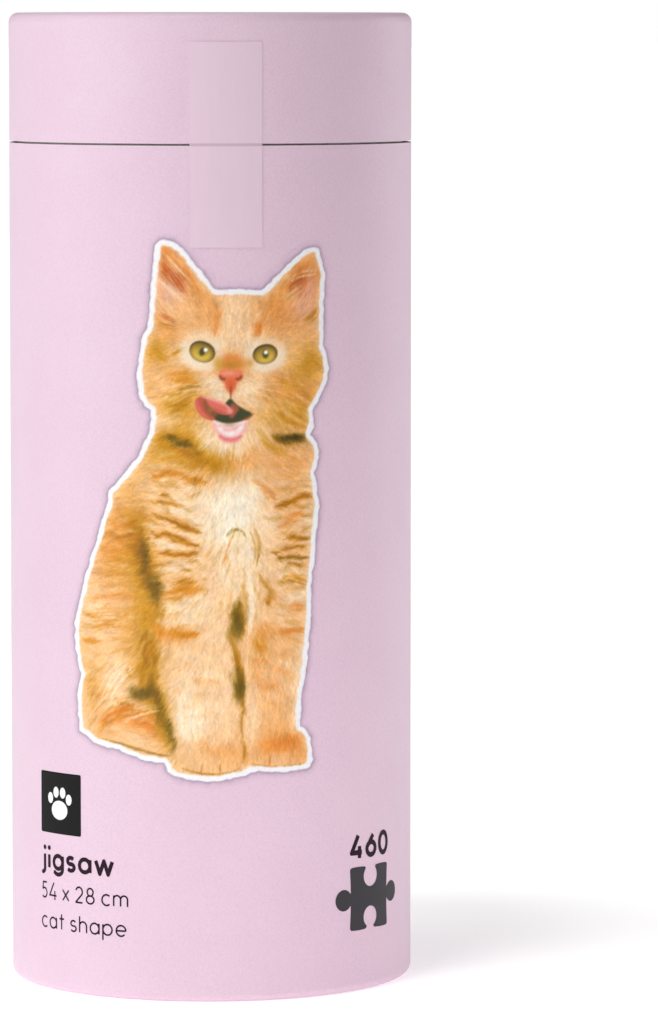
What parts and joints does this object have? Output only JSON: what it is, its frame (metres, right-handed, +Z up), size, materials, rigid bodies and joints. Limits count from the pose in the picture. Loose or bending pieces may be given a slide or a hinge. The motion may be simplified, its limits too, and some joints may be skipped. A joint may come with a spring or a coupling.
{
  "type": "boxed jigsaw puzzle",
  "caption": "Round paperboard tube with rolled rims and a lift-off lid on an inner neck, holding a bagged animal-shaped jigsaw puzzle.",
  "frame": {"origin": "centre of the bottom rim's footprint, on the surface it stands on", "axes": "+Z up along the tube, -Y towards the printed front with the kitten, +X to the right of a person facing the front"},
  "size_m": [0.085, 0.0853, 0.204],
  "materials": {
    "greyboard": "wound greyboard",
    "lilac_paper": "soft-touch laminated print",
    "white_paper": "uncoated",
    "glue": "dried white glue",
    "clear_tape": "clear film tape",
    "bag_film": "clear film",
    "puzzle_board": "printed puzzle board"
  },
  "bodies": {
    "base": {"base_tube": "greyboard", "base_tube_liner": "white_paper", "base_wrap": "lilac_paper", "base_disc": "greyboard", "base_disc_face": "lilac_paper", "base_floor_liner": "white_paper", "neck_tube": "greyboard", "neck_sleeve": "white_paper", "neck_liner": "white_paper", "neck_glue": "glue"},
    "lid": {"lid_tube": "greyboard", "lid_tube_liner": "white_paper", "lid_wrap": "lilac_paper", "lid_disc": "greyboard", "lid_disc_face": "lilac_paper", "lid_disc_liner": "white_paper", "seal_tape": "clear_tape"},
    "contents": {"puzzle_bag": "bag_film", "puzzle_row_01": "puzzle_board", "puzzle_row_02": "puzzle_board", "puzzle_row_03": "puzzle_board", "puzzle_row_04": "puzzle_board", "puzzle_row_05": "puzzle_board", "puzzle_row_06": "puzzle_board", "puzzle_row_07": "puzzle_board", "puzzle_row_08": "puzzle_board", "puzzle_row_09": "puzzle_board", "puzzle_row_10": "puzzle_board", "puzzle_row_11": "puzzle_board", "puzzle_row_12": "puzzle_board", "puzzle_row_13": "puzzle_board", "puzzle_row_14": "puzzle_board", "puzzle_row_15": "puzzle_board", "puzzle_row_16": "puzzle_board", "puzzle_row_17": "puzzle_board", "puzzle_row_18": "puzzle_board", "puzzle_row_19": "puzzle_board", "puzzle_row_20": "puzzle_board", "puzzle_row_21": "puzzle_board", "puzzle_row_22": "puzzle_board", "puzzle_row_23": "puzzle_board", "puzzle_row_24": "puzzle_board", "puzzle_row_25": "puzzle_board", "puzzle_row_26": "puzzle_board", "puzzle_row_27": "puzzle_board", "puzzle_row_28": "puzzle_board", "puzzle_row_29": "puzzle_board", "puzzle_row_30": "puzzle_board", "puzzle_row_31": "puzzle_board", "puzzle_row_32": "puzzle_board", "puzzle_row_33": "puzzle_board", "puzzle_row_34": "puzzle_board", "puzzle_row_35": "puzzle_board"}
  },
  "joints": [
    {"name": "lid_lift", "type": "slide", "parent": "base", "child": "lid", "axis": [0, 0, 1], "range_m": [0, 0.06]},
    {"name": "contents_shift", "type": "slide", "parent": "base", "child": "contents", "axis": [0, 0, 1], "range_m": [0, 0.017]}
  ]
}
